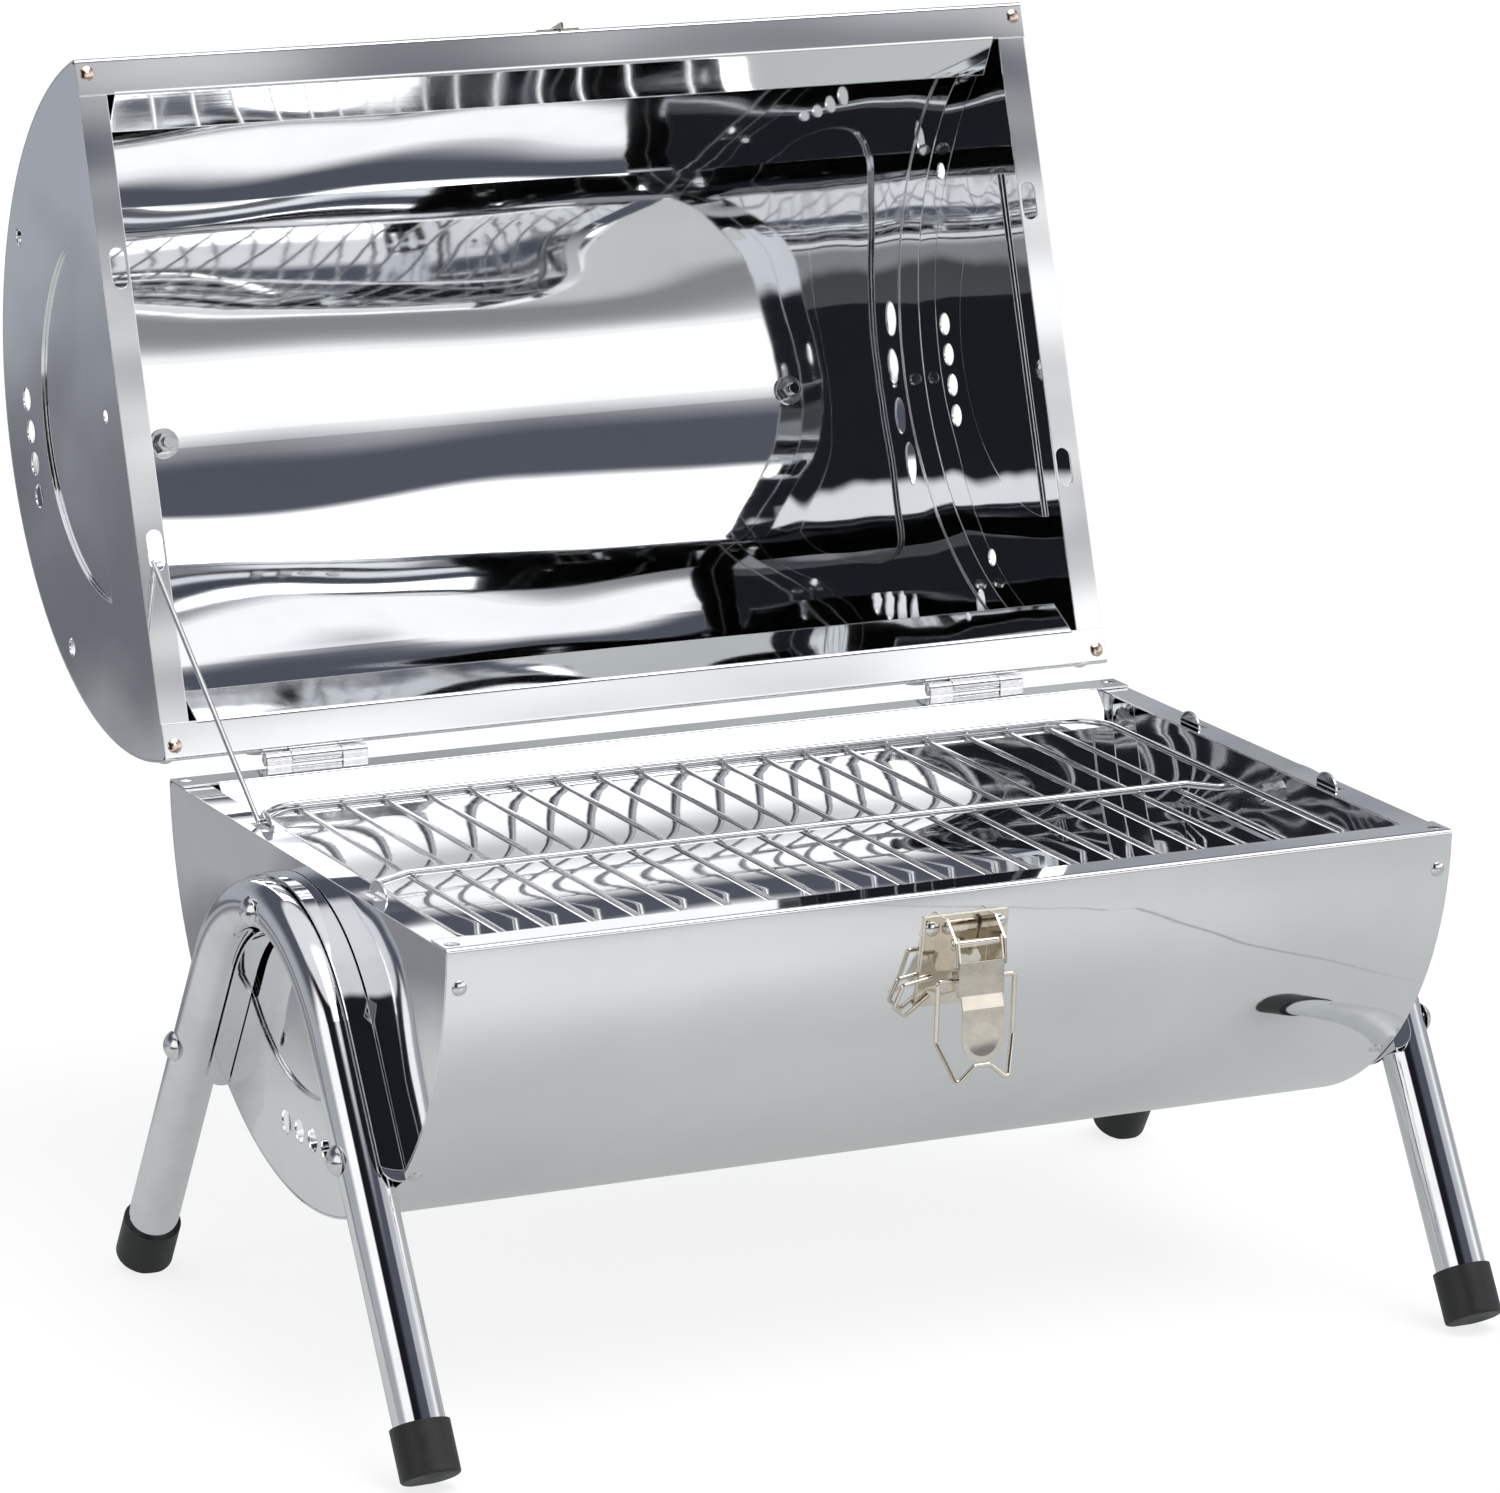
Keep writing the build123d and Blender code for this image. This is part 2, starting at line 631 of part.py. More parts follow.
def lid_stay():
    grip = stay_grip()
    foot = (STAY_X, STAY_FOOT_Y, RIM_Z + STAY_FOOT_RISE)
    top = (STAY_X, grip[0], RIM_Z + grip[1])
    stay = wire(Line(foot, top), STAY_WIRE)
    for point, reach in ((foot, STAY_FOOT_REACH), (top, STAY_TIP_REACH)):
        stay += Pos(*point) * Sphere(STAY_WIRE)
        stay += rod_x(STAY_WIRE, STAY_X, STAY_X + reach, point[1], point[2])
    return stay


# ---------------------------------------------------------------- latch
def front_wall_y(height, proud=0.0):
    """y of the bowl's front wall at a height, or of a surface that far outside it."""
    return -math.sqrt((RADIUS + proud) ** 2 - (CENTRE_RISE - height) ** 2)


def latch_base():
    """Plate against the front wall with two ears for the lever pin."""
    inner = RADIUS + LEAF_GAP
    ring = Circle(inner + BASE_SHEET) - Circle(inner)
    middle = (BASE_TOP + BASE_END) / 2
    keep = Pos(-RADIUS, middle - CENTRE_RISE) * Rectangle(RADIUS, BASE_TOP - BASE_END)
    base = slab(Pos(0, CENTRE_RISE) * (ring & keep), -BASE_HALF, BASE_HALF)
    face_y = LATCH_Y - LEVER_FACE
    ear = Polyline(
        (-RADIUS + 1.0, BASE_TOP - 0.5),
        (LATCH_Y + 5.5, BASE_TOP - 0.5),
        (LATCH_Y - 2.4, LATCH_RISE + 1.2),
        (face_y, LEVER_FACE_TOP - 1.5),
        (face_y + 1.2, LEVER_FACE_TOP - 2.5),
        (-RADIUS + 3.0, LEVER_FACE_TOP - 7.0),
        close=True,
    )
    for x_from, x_to in ((EAR_IN, EAR_OUT), (-EAR_OUT, -EAR_IN)):
        base += slab(make_face(ear), x_from, x_to)
    base -= slab(Pos(0, CENTRE_RISE) * Circle(inner), -BASE_HALF - 1, BASE_HALF + 1)
    return base - rod_x(LATCH_PIN + RUNNING_FIT, -BASE_HALF, BASE_HALF, LATCH_Y, LATCH_RISE)


def latch_rivet_frames():
    point, outward = polar(angle_at(BASE_RIVET_HEIGHT), -1)
    steps = (-BASE_RIVET_X, BASE_RIVET_X)
    return [((step, *point), (0, *outward), "latch") for step in steps]


def lever_side():
    """Outline of the lever's side wall, in (y, z)."""
    front = LATCH_Y - LEVER_FACE
    top = LATCH_RISE + 2.6
    return Polyline(
        (LATCH_Y - 1.5, top),
        (LATCH_Y + 2.0, top),
        (LATCH_Y + 3.2, LATCH_RISE),
        (LATCH_Y + 3.2, LATCH_RISE - BAIL_DROP - 2.4),
        (front + 1.0, LEVER_BOX_END),
        (front, LEVER_BOX_END),
        (front, LEVER_FACE_TOP),
        close=True,
    )


def lever_tongue():
    """Hanging thumb plate with a rounded end and a shallow dish."""
    front = LATCH_Y - LEVER_FACE
    face = front - TONGUE_STEP
    plate = Polyline(
        (front, LEVER_BOX_END + 0.5),
        (face, LEVER_BOX_END - CREASE),
        (face, LEVER_TIP),
        (face + LEVER_SHEET, LEVER_TIP),
        (face + LEVER_SHEET, LEVER_BOX_END - CREASE),
        (front + LEVER_SHEET, LEVER_BOX_END + 0.5),
        close=True,
    )
    middle = LEVER_TIP + TONGUE_HALF
    round_end = Pos(0, middle) * (Circle(TONGUE_HALF) + Pos(0, 20) * Rectangle(2 * TONGUE_HALF, 40))
    tongue = slab(make_face(plate), -TONGUE_HALF, TONGUE_HALF)
    tongue &= extrude(Plane.XZ * round_end, amount=400, both=True)
    return tongue - Pos(0, face - DISH_RADIUS + DISH_DEPTH, middle) * Sphere(DISH_RADIUS)


def latch_lever():
    """Pressed channel on the pin, its face carried on as the thumb plate."""
    front = LATCH_Y - LEVER_FACE
    side = make_face(lever_side())
    inner = LEVER_HALF - LEVER_SHEET
    lever = slab(side, inner, LEVER_HALF) + slab(side, -LEVER_HALF, -inner)
    lever += block(-LEVER_HALF, LEVER_HALF, front, front + LEVER_SHEET, LEVER_BOX_END, LEVER_FACE_TOP)
    lever += lever_tongue()
    lever -= rod_x(LATCH_PIN + RUNNING_FIT, -20, 20, LATCH_Y, LATCH_RISE)
    return lever - rod_x(BAIL_WIRE + RUNNING_FIT, -20, 20, LATCH_Y + BAIL_BACK, LATCH_RISE - BAIL_DROP)


def latch_pin():
    pin = rod_x(LATCH_PIN, -EAR_OUT - 0.2, EAR_OUT + 0.2, LATCH_Y, LATCH_RISE)
    for side in (-1, 1):
        head = dome(LATCH_PIN_HEAD, PIN_HEAD_HEIGHT)
        pin += placed(head, (side * (EAR_OUT + 0.08), LATCH_Y, LATCH_RISE), (side, 0, 0))
    return pin


def latch_bail():
    """Wire loop hanging from the lever, its free end kicked forward and notched."""
    y = LATCH_Y + BAIL_BACK
    z = LATCH_RISE - BAIL_DROP
    bend_z = z - BAIL_BEND * BAIL_LENGTH
    low_z = z - BAIL_LENGTH
    free_y = y + BAIL_KICK
    right = [
        (BAIL_END, y, z),
        (BAIL_HALF, y, z),
        (BAIL_HALF, y + BAIL_LEAN, bend_z),
        (BAIL_FREE_HALF, free_y, low_z),
        (NOTCH_HALF, free_y, low_z + BAIL_NOTCH),
    ]
    left = [(-x, y_, level) for x, y_, level in reversed(right)]
    return wire(FilletPolyline(*(right + left), radius=1.3), BAIL_WIRE)


def latch_side_loop():
    """Five-cornered wire eye lying on the left of the base and reaching past its edge."""
    corners = [(-12.5, -34.0), (-24.3, -36.0), (-26.8, -44.8), (-21.2, -49.5), (-12.5, -41.5)]
    points = [(x, front_wall_y(height, LOOP_STAND), height) for x, height in corners]
    return wire(FilletPolyline(*points, radius=1.6), LOOP_WIRE)


def latch_strike():
    """Low catch riveted to the lid's front wall, drawn like the bowl."""
    inner = RADIUS + LEAF_GAP
    ring = Circle(inner + STRIKE_SHEET) - Circle(inner)
    middle = (STRIKE_TOP + STRIKE_END) / 2
    keep = Pos(RADIUS, middle - CENTRE_RISE) * Rectangle(RADIUS, STRIKE_TOP - STRIKE_END)
    strike = slab(Pos(0, CENTRE_RISE) * (ring & keep), -STRIKE_HALF, STRIKE_HALF)
    point, outward = polar(angle_at(STRIKE_HOOK), 1, inner + STRIKE_SHEET / 2)
    hook = Pos(0, 0, STRIKE_PROUD / 2) * Box(1.3 * STRIKE_HALF, STRIKE_SHEET, STRIKE_PROUD + STRIKE_SHEET)
    return strike + placed(hook, (0, *point), (0, *outward))


def strike_rivet_frames():
    point, outward = polar(angle_at(STRIKE_END + 7.0), 1)
    steps = (-STRIKE_RIVET_X, STRIKE_RIVET_X)
    return [((step, *point), (0, *outward), "strike") for step in steps]


# ---------------------------------------------------------------- carrying handle
def handle_seat():
    return CENTRE_RISE - RADIUS


def lid_handle():
    """Bent rod with collared, threaded ends, drawn under a bowl-like lid."""
    seat = handle_seat() - RUNNING_FIT
    low = seat - HANDLE_STAND
    points = [(-HANDLE_X, 0, seat - 1), (-HANDLE_X, 0, low), (HANDLE_X, 0, low), (HANDLE_X, 0, seat - 1)]
    handle = wire(FilletPolyline(*points, radius=HANDLE_BEND), HANDLE_ROD)
    for side in (-1, 1):
        foot = Pos(side * HANDLE_X, 0, seat)
        handle += foot * Pos(0, 0, -HANDLE_COLLAR_HEIGHT / 2) * Cylinder(HANDLE_COLLAR, HANDLE_COLLAR_HEIGHT)
        handle += foot * Pos(0, 0, HANDLE_STUD_REACH / 2) * Cylinder(HANDLE_STUD, HANDLE_STUD_REACH)
    return handle


def handle_washers():
    top = handle_seat() + SHEET + NUT_LIFT
    return [Pos(side * HANDLE_X, 0, top) * washer(HANDLE_WASHER) for side in (-1, 1)]


def handle_nuts():
    top = handle_seat() + SHEET + NUT_LIFT + 2 * SNUG_FIT + WASHER_HEIGHT
    return [Pos(side * HANDLE_X, 0, top) * hex_nut() for side in (-1, 1)]


def handle_bores():
    drill = Cylinder(HANDLE_STUD + SNUG_FIT, DRILL_LENGTH)
    return [Pos(side * HANDLE_X, 0, handle_seat()) * drill for side in (-1, 1)]


# ---------------------------------------------------------------- assembly
def to_lid(shape):
    return lid_open(lid_shut(shape))


def drilled(shape, frames, move=None):
    """Cut the rivet holes of the given frames, moved the way their shape was."""
    for hole in rivet_holes(frames):
        shape -= move(hole) if move else hole
    return shape


def mirrored(shape):
    return mirror(shape, about=Plane.YZ)


def shell_nodes():
    plain = shell()
    for hole in rivet_holes(rivet_frames()):
        for copy in both_ends(hole):
            plain -= copy
    bowl = drilled(plain, all_leaf_rivet_frames(1) + latch_rivet_frames())
    # turning the lid over swaps its front and back
    lid = drilled(plain, all_leaf_rivet_frames(-1) + strike_rivet_frames())
    for bore in handle_bores():
        lid -= bore
    return {"bowl_shell": [to_bowl(bowl)], "lid_shell": [to_lid(lid)]}


def end_nodes():
    plate = drilled(end_plate(), rivet_frames())
    bowl_plate = plate
    lid_plate = plate
    for side in (-1, 1):
        bowl_plate = bowl_plate - lance_cut(side) + tab(side)
        lid_plate = lid_plate - slot_cut(side)
    stay_hole = rod_x(STAY_WIRE + RUNNING_FIT, 200, 206, STAY_FOOT_Y, STAY_FOOT_RISE)
    return {
        "bowl_end_right": [to_bowl(bowl_plate)],
        "bowl_end_left": [to_bowl(mirrored(bowl_plate - stay_hole))],
        "lid_end_right": [to_lid(lid_plate)],
        "lid_end_left": [to_lid(mirrored(lid_plate))],
    }


def rivet_nodes():
    return {
        "bowl_wall_rivets": [to_bowl(item) for item in end_rivets("wall")],
        "lid_wall_rivets": [to_lid(item) for item in end_rivets("wall")],
        "bowl_corner_rivets": [to_bowl(item) for item in end_rivets("corner", BOWL_CORNER_HEAD)],
        "lid_corner_rivets": [to_lid(item) for item in end_rivets("corner", LID_CORNER_HEAD)],
    }


def outside_rivets(sheet, frames):
    """Rivets whose heads sit on a part of the given thickness laid against a shell."""
    lift = sheet + LEAF_GAP + 2 * SNUG_FIT
    riveted = Pos(0, 0, lift) * rivet(lift + SHEET)
    return [placed(riveted, point, outward) for point, outward, kind in frames]


def hinge_nodes():
    nodes = {"hinge_pins": [hinge_pin(-HINGE_X), hinge_pin(HINGE_X)]}
    for side, name in ((-1, "left"), (1, "right")):
        x = side * HINGE_X
        bowl_leaf = drilled(hinge_leaf(x, False), leaf_rivet_frames(x, 1), to_bowl)
        lid_leaf = drilled(hinge_leaf(x, True), leaf_rivet_frames(x, -1), lid_shut)
        nodes["hinge_bowl_leaf_" + name] = [bowl_leaf]
        nodes["hinge_lid_leaf_" + name] = [lid_open(lid_leaf)]
    bowl_rivets = outside_rivets(LEAF_SHEET, all_leaf_rivet_frames(1))
    lid_rivets = outside_rivets(LEAF_SHEET, all_leaf_rivet_frames(-1))
    nodes["hinge_bowl_rivets"] = [to_bowl(item) for item in bowl_rivets]
    nodes["hinge_lid_rivets"] = [to_lid(item) for item in lid_rivets]
    return nodes


def leg_nodes():
    nodes = {
        "right_leg_tube": [leg_tube()],
        "right_leg_saddle": [saddle()],
        "right_leg_caps": [rubber_cap(-1), rubber_cap(1)],
        "right_leg_screws": side_screws(),
    }
    for name, shapes in list(nodes.items()):
        nodes[name.replace("right", "left")] = [mirrored(shape) for shape in shapes]
    nodes["leg_pivot_bolts"] = both_ends(pivot_bolt())
    nodes["leg_pivot_washers"] = both_ends(pivot_washer())
    nodes["leg_pivot_nuts"] = both_ends(pivot_nut())
    return nodes


def grate_nodes():
    return {
        "grate_frame": [grate_frame()],
        "grate_bars": grate_bars(),
        "grate_middle_wire": [grate_middle_wire()],
    }


def latch_nodes():
    base_rivets = outside_rivets(BASE_SHEET, latch_rivet_frames())
    strike_rivets = outside_rivets(STRIKE_SHEET, strike_rivet_frames())
    return {
        "latch_base": [to_bowl(drilled(latch_base(), latch_rivet_frames()))],
        "latch_rivets": [to_bowl(item) for item in base_rivets],
        "latch_pin": [to_bowl(latch_pin())],
        "latch_side_loop": [to_bowl(latch_side_loop())],
        "latch_lever": [to_bowl(latch_lever())],
        "latch_bail": [to_bowl(latch_bail())],
        "latch_strike": [to_lid(drilled(latch_strike(), strike_rivet_frames()))],
        "latch_strike_rivets": [to_lid(item) for item in strike_rivets],
    }


def handle_nodes():
    return {
        "lid_handle": [to_lid(lid_handle())],
        "handle_washers": [to_lid(item) for item in handle_washers()],
        "handle_nuts": [to_lid(item) for item in handle_nuts()],
    }


def build():
    nodes = {"lid_stay": [lid_stay()]}
    for make in (shell_nodes, end_nodes, rivet_nodes, hinge_nodes, leg_nodes,
                 grate_nodes, latch_nodes, handle_nodes):
        nodes.update(make())
    return nodes


os.makedirs("parts", exist_ok=True)
for node_name, shapes in build().items():
    moved = [Pos(0, BOWL_SHIFT, 0) * shape for shape in shapes]
    export_step(group(moved, node_name), "parts/" + node_name + ".step")
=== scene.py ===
import json
from math import cos, radians, sin

import bpy
from mathutils import Matrix, Vector


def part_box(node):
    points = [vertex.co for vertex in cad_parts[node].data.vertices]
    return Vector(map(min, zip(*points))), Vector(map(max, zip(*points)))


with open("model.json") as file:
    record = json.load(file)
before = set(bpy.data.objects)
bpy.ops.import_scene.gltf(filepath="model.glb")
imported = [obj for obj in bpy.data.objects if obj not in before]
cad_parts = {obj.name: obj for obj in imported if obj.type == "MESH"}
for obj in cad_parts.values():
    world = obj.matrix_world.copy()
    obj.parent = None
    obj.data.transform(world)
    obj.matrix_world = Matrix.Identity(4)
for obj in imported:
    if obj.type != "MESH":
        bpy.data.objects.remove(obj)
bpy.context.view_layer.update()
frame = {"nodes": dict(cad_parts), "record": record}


# ---------------------------------------------------------------- node helpers
class Graph:
    """Short calls for building a node tree."""

    def __init__(self, tree):
        self.tree = tree
        self.tree.nodes.clear()

    def add(self, kind, **settings):
        made = self.tree.nodes.new(kind)
        for name, value in settings.items():
            setattr(made, name, value)
        return made

    def join(self, source, target):
        self.tree.links.new(source, target)

    def feed(self, target, value):
        """Link an output, or set a plain value."""
        if isinstance(value, bpy.types.NodeSocket):
            self.join(value, target)
        else:
            target.default_value = value

    def maths(self, operation, first, second=0.0):
        made = self.add("ShaderNodeMath", operation=operation)
        self.feed(made.inputs[0], first)
        self.feed(made.inputs[1], second)
        return made.outputs[0]

    def product(self, first, second):
        return self.maths("MULTIPLY", first, second)

    def step(self, value, low, high, start=0.0, end=1.0):
        """Smooth change from start to end as value goes from low to high."""
        made = self.add("ShaderNodeMapRange", interpolation_type="SMOOTHSTEP")
        self.feed(made.inputs["Value"], value)
        made.inputs["From Min"].default_value = low
        made.inputs["From Max"].default_value = high
        self.feed(made.inputs["To Min"], start)
        self.feed(made.inputs["To Max"], end)
        return made.outputs["Result"]

    def noise(self, coordinates, scale, detail=2.0, rough=0.5, distort=0.0):
        made = self.add("ShaderNodeTexNoise")
        self.join(coordinates, made.inputs["Vector"])
        made.inputs["Scale"].default_value = scale
        made.inputs["Detail"].default_value = detail
        made.inputs["Roughness"].default_value = rough
        made.inputs["Distortion"].default_value = distort
        return made.outputs["Fac"]

    def place(self, stretch=(1, 1, 1)):
        """Object coordinates, stretched."""
        source = self.add("ShaderNodeTexCoord")
        mapping = self.add("ShaderNodeMapping")
        mapping.inputs["Scale"].default_value = stretch
        self.join(source.outputs["Object"], mapping.inputs["Vector"])
        return mapping.outputs["Vector"]

    def axes(self, coordinates):
        """The X, Y and Z outputs of a vector."""
        split = self.add("ShaderNodeSeparateXYZ")
        self.join(coordinates, split.inputs["Vector"])
        return split.outputs["X"], split.outputs["Y"], split.outputs["Z"]

    def blend(self, amount, first, second):
        made = self.add("ShaderNodeMix", data_type="RGBA")
        self.feed(made.inputs["Factor"], amount)
        self.feed(made.inputs["A"], first)
        self.feed(made.inputs["B"], second)
        return made.outputs["Result"]

    def bump(self, height, strength, distance, normal=None):
        made = self.add("ShaderNodeBump")
        made.inputs["Strength"].default_value = strength
        made.inputs["Distance"].default_value = distance
        self.join(height, made.inputs["Height"])
        if normal is not None:
            self.join(normal, made.inputs["Normal"])
        return made.outputs["Normal"]

    def rounded_edges(self, radius):
        """Surface direction with every edge eased by a small radius."""
        made = self.add("ShaderNodeBevel", samples=6)
        made.inputs["Radius"].default_value = radius
        return made.outputs["Normal"]

    def edge_mask(self, rounded):
        """1 along the edges that rounded_edges() eased, 0 on the flat of a face."""
        geometry = self.add("ShaderNodeNewGeometry")
        alike = self.add("ShaderNodeVectorMath", operation="DOT_PRODUCT")
        self.join(geometry.outputs["Normal"], alike.inputs[0])
        self.join(rounded, alike.inputs[1])
        return self.step(alike.outputs["Value"], 0.98, 0.80)


def new_material(name):
    material = bpy.data.materials.new(name)
    material.use_nodes = True
    graph = Graph(material.node_tree)
    shader = graph.add("ShaderNodeBsdfPrincipled")
    output = graph.add("ShaderNodeOutputMaterial")
    graph.join(shader.outputs["BSDF"], output.inputs["Surface"])
    return material, graph, shader


# ---------------------------------------------------------------- materials
# Lengths are in metres.
BUCKLE_DEPTH = 0.008           # slow unevenness of the thin sheet
RIPPLE_DEPTH = 0.0006
LINE_DEPTH = 0.00001           # polishing lines
LINE_STRENGTH = 0.15
SHEET_EDGE = 0.0006            # rounding of the sheet's cut edges
CUT_ROUGHNESS = 0.35           # added along the cut edges
HIGHLIGHT_DULLING = 0.8              # how far the cut edges lose the mirror for the painted highlight
# near-white colour of the cut edges: a painted highlight
CUT_EDGE_HIGHLIGHT = (0.97, 0.97, 0.97, 1)
CLEAN_SHEET = (0.93, 0.94, 0.95, 1)
SMUDGED_SHEET = (0.86, 0.87, 0.885, 1)
PLATED_EDGE = 0.0004
PLATED_GRAIN = 0.0004
PATCH_SHADE = 0.88             # darker patches of a plating against its tint
RUBBER_GRAIN = 0.0002
RUBBER_BLACK = (0.012, 0.012, 0.013, 1)
RUBBER_DUSTY = (0.03, 0.03, 0.031, 1)
HOLLOW_DEPTH = 0.003
HOLLOW_TOP = 0.038             # below the bowl's rim
HOLLOW_FOOT = 0.068
HOLLOW_FADE = 0.02


def bowl_middle():
    """Y of the middle of the bowl."""
    low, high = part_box("bowl_shell")
    return 0.5 * (low[1] + high[1])


def pressed_hollow(graph):
    """Height field of the shallow hollow in the bowl's back wall, below the grate."""
    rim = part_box("bowl_shell")[1][2]
    _, y, z = graph.axes(graph.place())
    depth = graph.step(z, rim - HOLLOW_TOP, rim - HOLLOW_FOOT)
    back = graph.step(y, bowl_middle(), bowl_middle() + HOLLOW_FADE)
    return graph.product(graph.product(depth, depth), back)


def polished_sheet(name, hollow=False):
    """Mirror-polished stainless sheet: slow buckles, faint polishing lines, smudges, rougher cut edges
    painted near-white as a painted highlight.
    """
    material, graph, shader = new_material(name)
    lines = graph.noise(graph.place((3, 900, 900)), 1.0, 3.0, 0.6)
    smudge = graph.noise(graph.place(), 9.0, 4.0, 0.6, 0.4)
    rounded = graph.rounded_edges(SHEET_EDGE)
    cut_edge_and_highlight = graph.edge_mask(rounded)
    rough = graph.maths("ADD", graph.step(smudge, 0.45, 0.75, 0.015, 0.05), graph.product(lines, 0.03))
    edge_rough = graph.product(cut_edge_and_highlight, CUT_ROUGHNESS)
    graph.join(graph.maths("ADD", rough, edge_rough), shader.inputs["Roughness"])
    mirror = graph.blend(graph.step(smudge, 0.3, 0.8), CLEAN_SHEET, SMUDGED_SHEET)
    # The cut edges are painted near-white and less metallic, a painted highlight; their added roughness
    # is real.
    graph.join(graph.blend(cut_edge_and_highlight, mirror, CUT_EDGE_HIGHLIGHT), shader.inputs["Base Color"])
    highlight_dulled = graph.product(cut_edge_and_highlight, HIGHLIGHT_DULLING)
    graph.join(graph.maths("SUBTRACT", 1.0, highlight_dulled), shader.inputs["Metallic"])
    surface = rounded
    if hollow:
        surface = graph.bump(pressed_hollow(graph), 1.0, -HOLLOW_DEPTH, surface)
    buckles = graph.noise(graph.place((4, 8, 8)), 1.0, 1.0, 0.3, 0.3)
    surface = graph.bump(buckles, 1.0, BUCKLE_DEPTH, surface)
    ripples = graph.noise(graph.place((7, 24, 24)), 1.0, 1.0, 0.3)
    surface = graph.bump(ripples, 1.0, RIPPLE_DEPTH, surface)
    graph.join(graph.bump(lines, LINE_STRENGTH, LINE_DEPTH, surface), shader.inputs["Normal"])
    return material


def plated(name, tint, roughness, scale, bump):
    """Bright plated metal with slightly uneven sheen; roughness is (least, most)."""
    material, graph, shader = new_material(name)
    shader.inputs["Metallic"].default_value = 1.0
    patches = graph.noise(graph.place(), scale, 4.0, 0.6)
    graph.join(graph.step(patches, 0.35, 0.7, *roughness), shader.inputs["Roughness"])
    dark = tuple(PATCH_SHADE * channel for channel in tint) + (1,)
    colour = graph.blend(graph.step(patches, 0.3, 0.75), tint + (1,), dark)
    graph.join(colour, shader.inputs["Base Color"])
    rounded = graph.rounded_edges(PLATED_EDGE)
    graph.join(graph.bump(patches, bump, PLATED_GRAIN, rounded), shader.inputs["Normal"])
    return material


def black_rubber():
    """Moulded rubber with fine grain and a little dust."""
    material, graph, shader = new_material("black_rubber")
    grain = graph.noise(graph.place(), 900.0, 3.0, 0.6)
    dust = graph.noise(graph.place(), 60.0, 4.0, 0.6)
    graph.join(graph.step(dust, 0.4, 0.75, 0.42, 0.62), shader.inputs["Roughness"])
    colour = graph.blend(graph.step(dust, 0.45, 0.8), RUBBER_BLACK, RUBBER_DUSTY)
    graph.join(colour, shader.inputs["Base Color"])
    graph.join(graph.bump(grain, 0.15, RUBBER_GRAIN), shader.inputs["Normal"])
    return material


def paint_cad_nodes():
    """Give every CAD node its material: the record's slot, apart from three kinds of node."""
    made = {
        "polished_sheet": polished_sheet("polished_sheet"),
        "bowl_sheet": polished_sheet("bowl_sheet", hollow=True),
        "chrome_tube": plated("chrome_tube", (0.90, 0.91, 0.93), (0.015, 0.04), 30.0, 0.03),
        "plated_wire": plated("plated_wire", (0.80, 0.80, 0.81), (0.08, 0.18), 400.0, 0.1),
        "nickel_hardware": plated("nickel_hardware", (0.82, 0.765, 0.67), (0.04, 0.12), 150.0, 0.08),
        "bright_fasteners": plated("bright_fasteners", (0.84, 0.84, 0.85), (0.10, 0.2), 300.0, 0.08),
        # The rivets are steel: their copper tint is a painted reflection, kept under the record's slot
        # name.
        "coppered_rivets": plated("coppered_rivets", (0.80, 0.62, 0.52), (0.12, 0.22), 300.0, 0.08),
        "black_rubber": black_rubber(),
    }
    slots = {part["node"]: part["material_slot"] for part in frame["record"]["subparts"]}
    for name, node in frame["nodes"].items():
        slot = slots[name]
        if name.startswith("hinge_") or name == "lid_stay":
            slot = "bright_fasteners"
        if name == "bowl_shell":
            slot = "bowl_sheet"
        node.data.materials.clear()
        node.data.materials.append(made[slot])


# ---------------------------------------------------------------- studio
# x, y and height are here the parts of a unit direction.
DARK = (0.012, 0.013, 0.017, 1)
CHARCOAL = (0.085, 0.094, 0.118, 1)
WHITE = (1.0, 1.0, 1.0, 1)
TENT = (1.15, 1.15, 1.15, 1)
SOFTBOX = (3.2, 3.2, 3.2, 1)
WEAK_LIGHT = (0.80, 0.81, 0.83, 1)
SIDE_STRIP = (1.10, 1.10, 1.10, 1)
RIGHT_HAZE = (0.50, 0.52, 0.56, 1)
BACK_HAZE = (0.40, 0.42, 0.45, 1)


def front_light(graph, x, height):
    """On the right a white tent, a charcoal gap and a softbox; on the left dark, then a weak light."""
    gap = graph.blend(graph.step(x, 0.48, 0.58), CHARCOAL, RIGHT_HAZE)
    tent = graph.blend(graph.step(height, 0.26, 0.50), TENT, gap)
    right_side = graph.blend(graph.step(height, 0.68, 0.76), tent, SOFTBOX)
    left_side = graph.blend(graph.step(height, 0.78, 0.82), DARK, WEAK_LIGHT)
    return graph.blend(graph.step(x, -0.25, 0.05), left_side, right_side)


def back_light(graph, height):
    """Haze near the horizon, charcoal above it, a weak light overhead."""
    low = graph.blend(graph.step(height, 0.15, 0.5), BACK_HAZE, CHARCOAL)
    return graph.blend(graph.step(height, 0.72, 0.80), low, WEAK_LIGHT)


def side_strip(graph, x, y, height):
    """Share of the upright strip of light at the far left."""
    across = graph.step(x, -0.58, -0.66)
    upright = graph.step(graph.maths("ABSOLUTE", height), 0.72, 0.60)
    ahead = graph.step(y, 0.10, -0.20)
    return graph.product(graph.product(across, upright), ahead)


def studio_world():
    """What the metal mirrors all around, laid out by direction; plain white to the camera."""
    world = bpy.data.worlds.new("studio")
    bpy.context.scene.world = world
    world.use_nodes = True
    graph = Graph(world.node_tree)
    source = graph.add("ShaderNodeTexCoord")
    x, y, height = graph.axes(source.outputs["Generated"])
    ahead = graph.step(y, 0.10, -0.20)
    level = graph.blend(ahead, back_light(graph, height), front_light(graph, x, height))
    level = graph.blend(side_strip(graph, x, y, height), level, SIDE_STRIP)
    path = graph.add("ShaderNodeLightPath")
    seen = graph.blend(path.outputs["Is Camera Ray"], level, WHITE)
    background = graph.add("ShaderNodeBackground")
    graph.join(seen, background.inputs["Color"])
    output = graph.add("ShaderNodeOutputWorld")
    graph.join(background.outputs["Background"], output.inputs["Surface"])


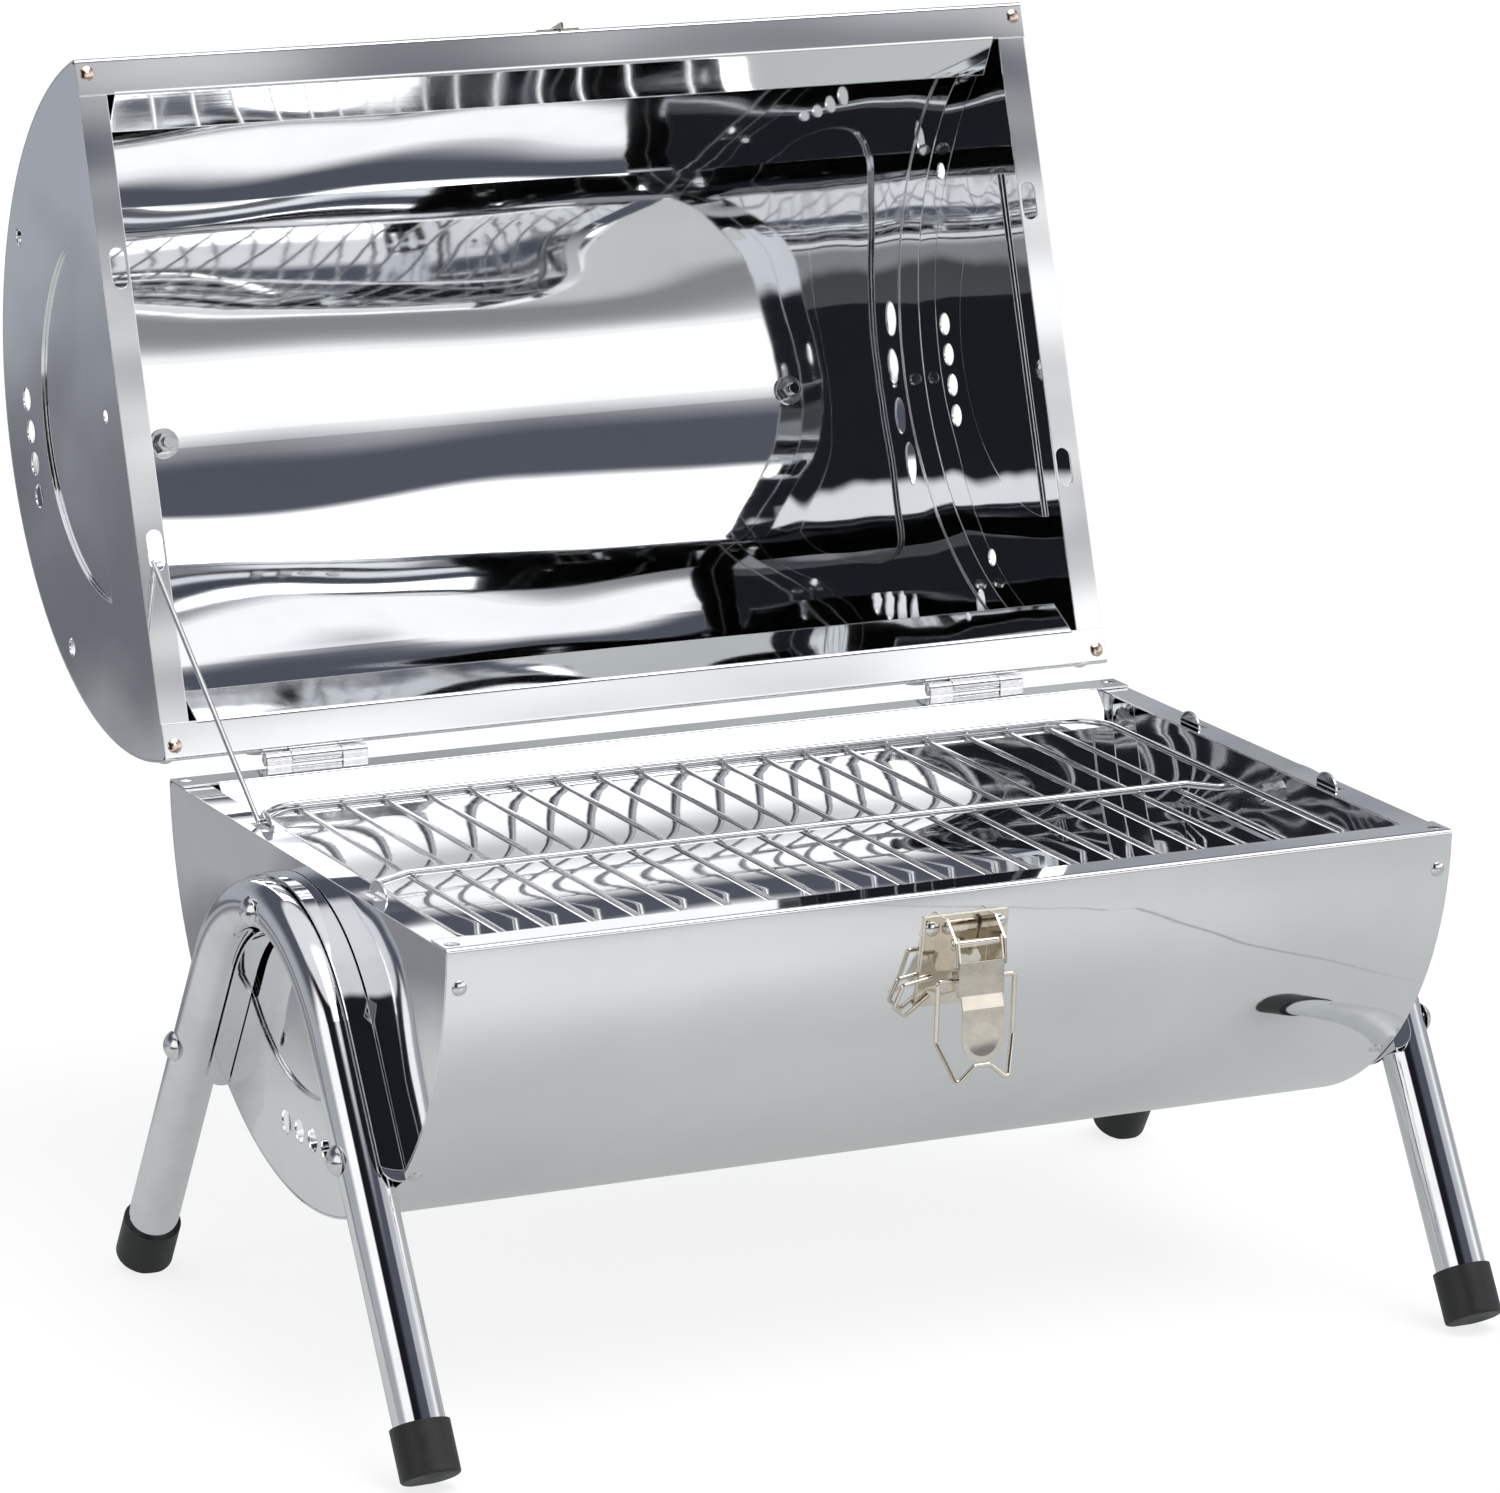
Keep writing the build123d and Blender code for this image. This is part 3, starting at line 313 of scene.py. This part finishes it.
# ---------------------------------------------------------------- floor
# x and y are here metres on the floor; the grill's front faces -y.
FLOOR_HALF = 6.0
FLOOR_GLOW = 0.72              # share of the floor's brightness that is painted glow, which shadows don't touch
FLOOR_TO_CAMERA = (1.10, 1.10, 1.10, 1)
# Painted glow on the floor by and under the grill, where the grill's shadow falls, and a painted pool
# of light before it.
NEAR = (0.535, 0.552, 0.545, 1)
NEAR_LEFT = (0.60, 0.615, 0.61, 1)
FRONT_LIGHT_POOL = (0.80, 0.80, 0.80, 1)
SEAM = (0.36, 0.36, 0.36, 1)
SEAM_WIDTHS = (0.0022, 0.0004)
FRONT_MIDDLE = (0.22, 0.225, 0.235, 1)
FRONT_FAR = (0.98, 0.98, 0.98, 1)
FRONT_LEFT = (0.03, 0.03, 0.035, 1)
BACK_BANDS = (                 # from Y, to Y, tone reached
    (0.22, 0.44, (0.23, 0.235, 0.255, 1)),
    (0.52, 0.64, (0.38, 0.39, 0.41, 1)),
    (0.75, 1.10, (0.14, 0.145, 0.165, 1)),
    (1.20, 2.50, (0.37, 0.39, 0.43, 1)),
)


def floor_seam(graph, x, y):
    """Share of the thin seam that the front wall mirrors; it leans to the right near the grill."""
    seam_x = graph.step(y, -0.36, -0.22, 0.235, 0.305)
    distance = graph.maths("ABSOLUTE", graph.maths("SUBTRACT", x, seam_x))
    return graph.product(graph.step(distance, *SEAM_WIDTHS), graph.step(y, -0.25, -0.32))


def front_floor(graph, x, y, near):
    """Painted glow: a bright painted pool of light before the grill, then darker, then white far off;
    dark at the far left.
    """
    patch = graph.product(graph.step(x, 0.6, -0.1), graph.step(y, -0.26, -0.50))
    tone = graph.blend(patch, near, FRONT_LIGHT_POOL)
    tone = graph.blend(floor_seam(graph, x, y), tone, SEAM)
    tone = graph.blend(graph.step(y, -0.70, -1.0), tone, FRONT_MIDDLE)
    tone = graph.blend(graph.step(y, -1.2, -4.5), tone, FRONT_FAR)
    return graph.blend(graph.step(x, -0.5, -0.8), tone, FRONT_LEFT)


def back_floor(graph, y, near):
    tone = near
    for start, end, band in BACK_BANDS:
        tone = graph.blend(graph.step(y, start, end), tone, band)
    return tone


def floor_material():
    """A glowing floor, painted light: near white to the camera, and bands of painted glow in cooler
    greys, lit and dark, where the metal mirrors it.
    """
    material, graph, shader = new_material("glowing_pale_floor")
    shader.inputs["Roughness"].default_value = 0.9
    x, y, _ = graph.axes(graph.place())
    near = graph.blend(graph.step(x, -0.18, -0.30), NEAR, NEAR_LEFT)
    front = front_floor(graph, x, y, near)
    mirrored = graph.blend(graph.step(y, -0.15, 0.1), front, back_floor(graph, y, near))
    path = graph.add("ShaderNodeLightPath")
    tone = graph.blend(path.outputs["Is Camera Ray"], mirrored, FLOOR_TO_CAMERA)
    # These tones glow: painted light that stands in for the lit and dark room and keeps the floor's
    # shadows faint.
    graph.join(tone, shader.inputs["Emission Color"])
    shader.inputs["Emission Strength"].default_value = FLOOR_GLOW
    graph.join(graph.blend(1.0 - FLOOR_GLOW, (0, 0, 0, 1), tone), shader.inputs["Base Color"])
    return material


def floor():
    mesh = bpy.data.meshes.new("floor")
    corners = [(x * FLOOR_HALF, y * FLOOR_HALF, 0) for x, y in ((-1, -1), (1, -1), (1, 1), (-1, 1))]
    mesh.from_pydata(corners, [], [(0, 1, 2, 3)])
    plane = bpy.data.objects.new("floor", mesh)
    bpy.context.scene.collection.objects.link(plane)
    mesh.materials.append(floor_material())


# ---------------------------------------------------------------- camera
AZIMUTH = radians(26.47)       # the camera stands this far to the left of straight in front
ELEVATION = radians(15.64)
ROLL = radians(0.52)
CAMERA_X = -1.189
CAMERA_BEFORE_BOWL = 2.468
CAMERA_Z = 0.898
SENSOR = 36.0                  # millimetres, as the lens
LENS = 174.024
SHIFT_X, SHIFT_Y = -0.096, 0.156333


def camera():
    made = bpy.data.cameras.new("camera")
    made.sensor_width = SENSOR
    made.lens = LENS
    made.shift_x = SHIFT_X
    made.shift_y = SHIFT_Y
    made.clip_end = 50.0
    holder = bpy.data.objects.new("camera", made)
    ahead = (sin(AZIMUTH) * cos(ELEVATION), cos(AZIMUTH) * cos(ELEVATION), -sin(ELEVATION))
    turn = Vector(ahead).to_track_quat("-Z", "Y").to_matrix().to_4x4() @ Matrix.Rotation(ROLL, 4, "Z")
    place = Matrix.Translation((CAMERA_X, bowl_middle() - CAMERA_BEFORE_BOWL, CAMERA_Z))
    holder.matrix_world = place @ turn
    bpy.context.scene.collection.objects.link(holder)
    bpy.context.scene.camera = holder


bpy.context.scene.view_settings.view_transform = "Standard"
paint_cad_nodes()
studio_world()
floor()
camera()
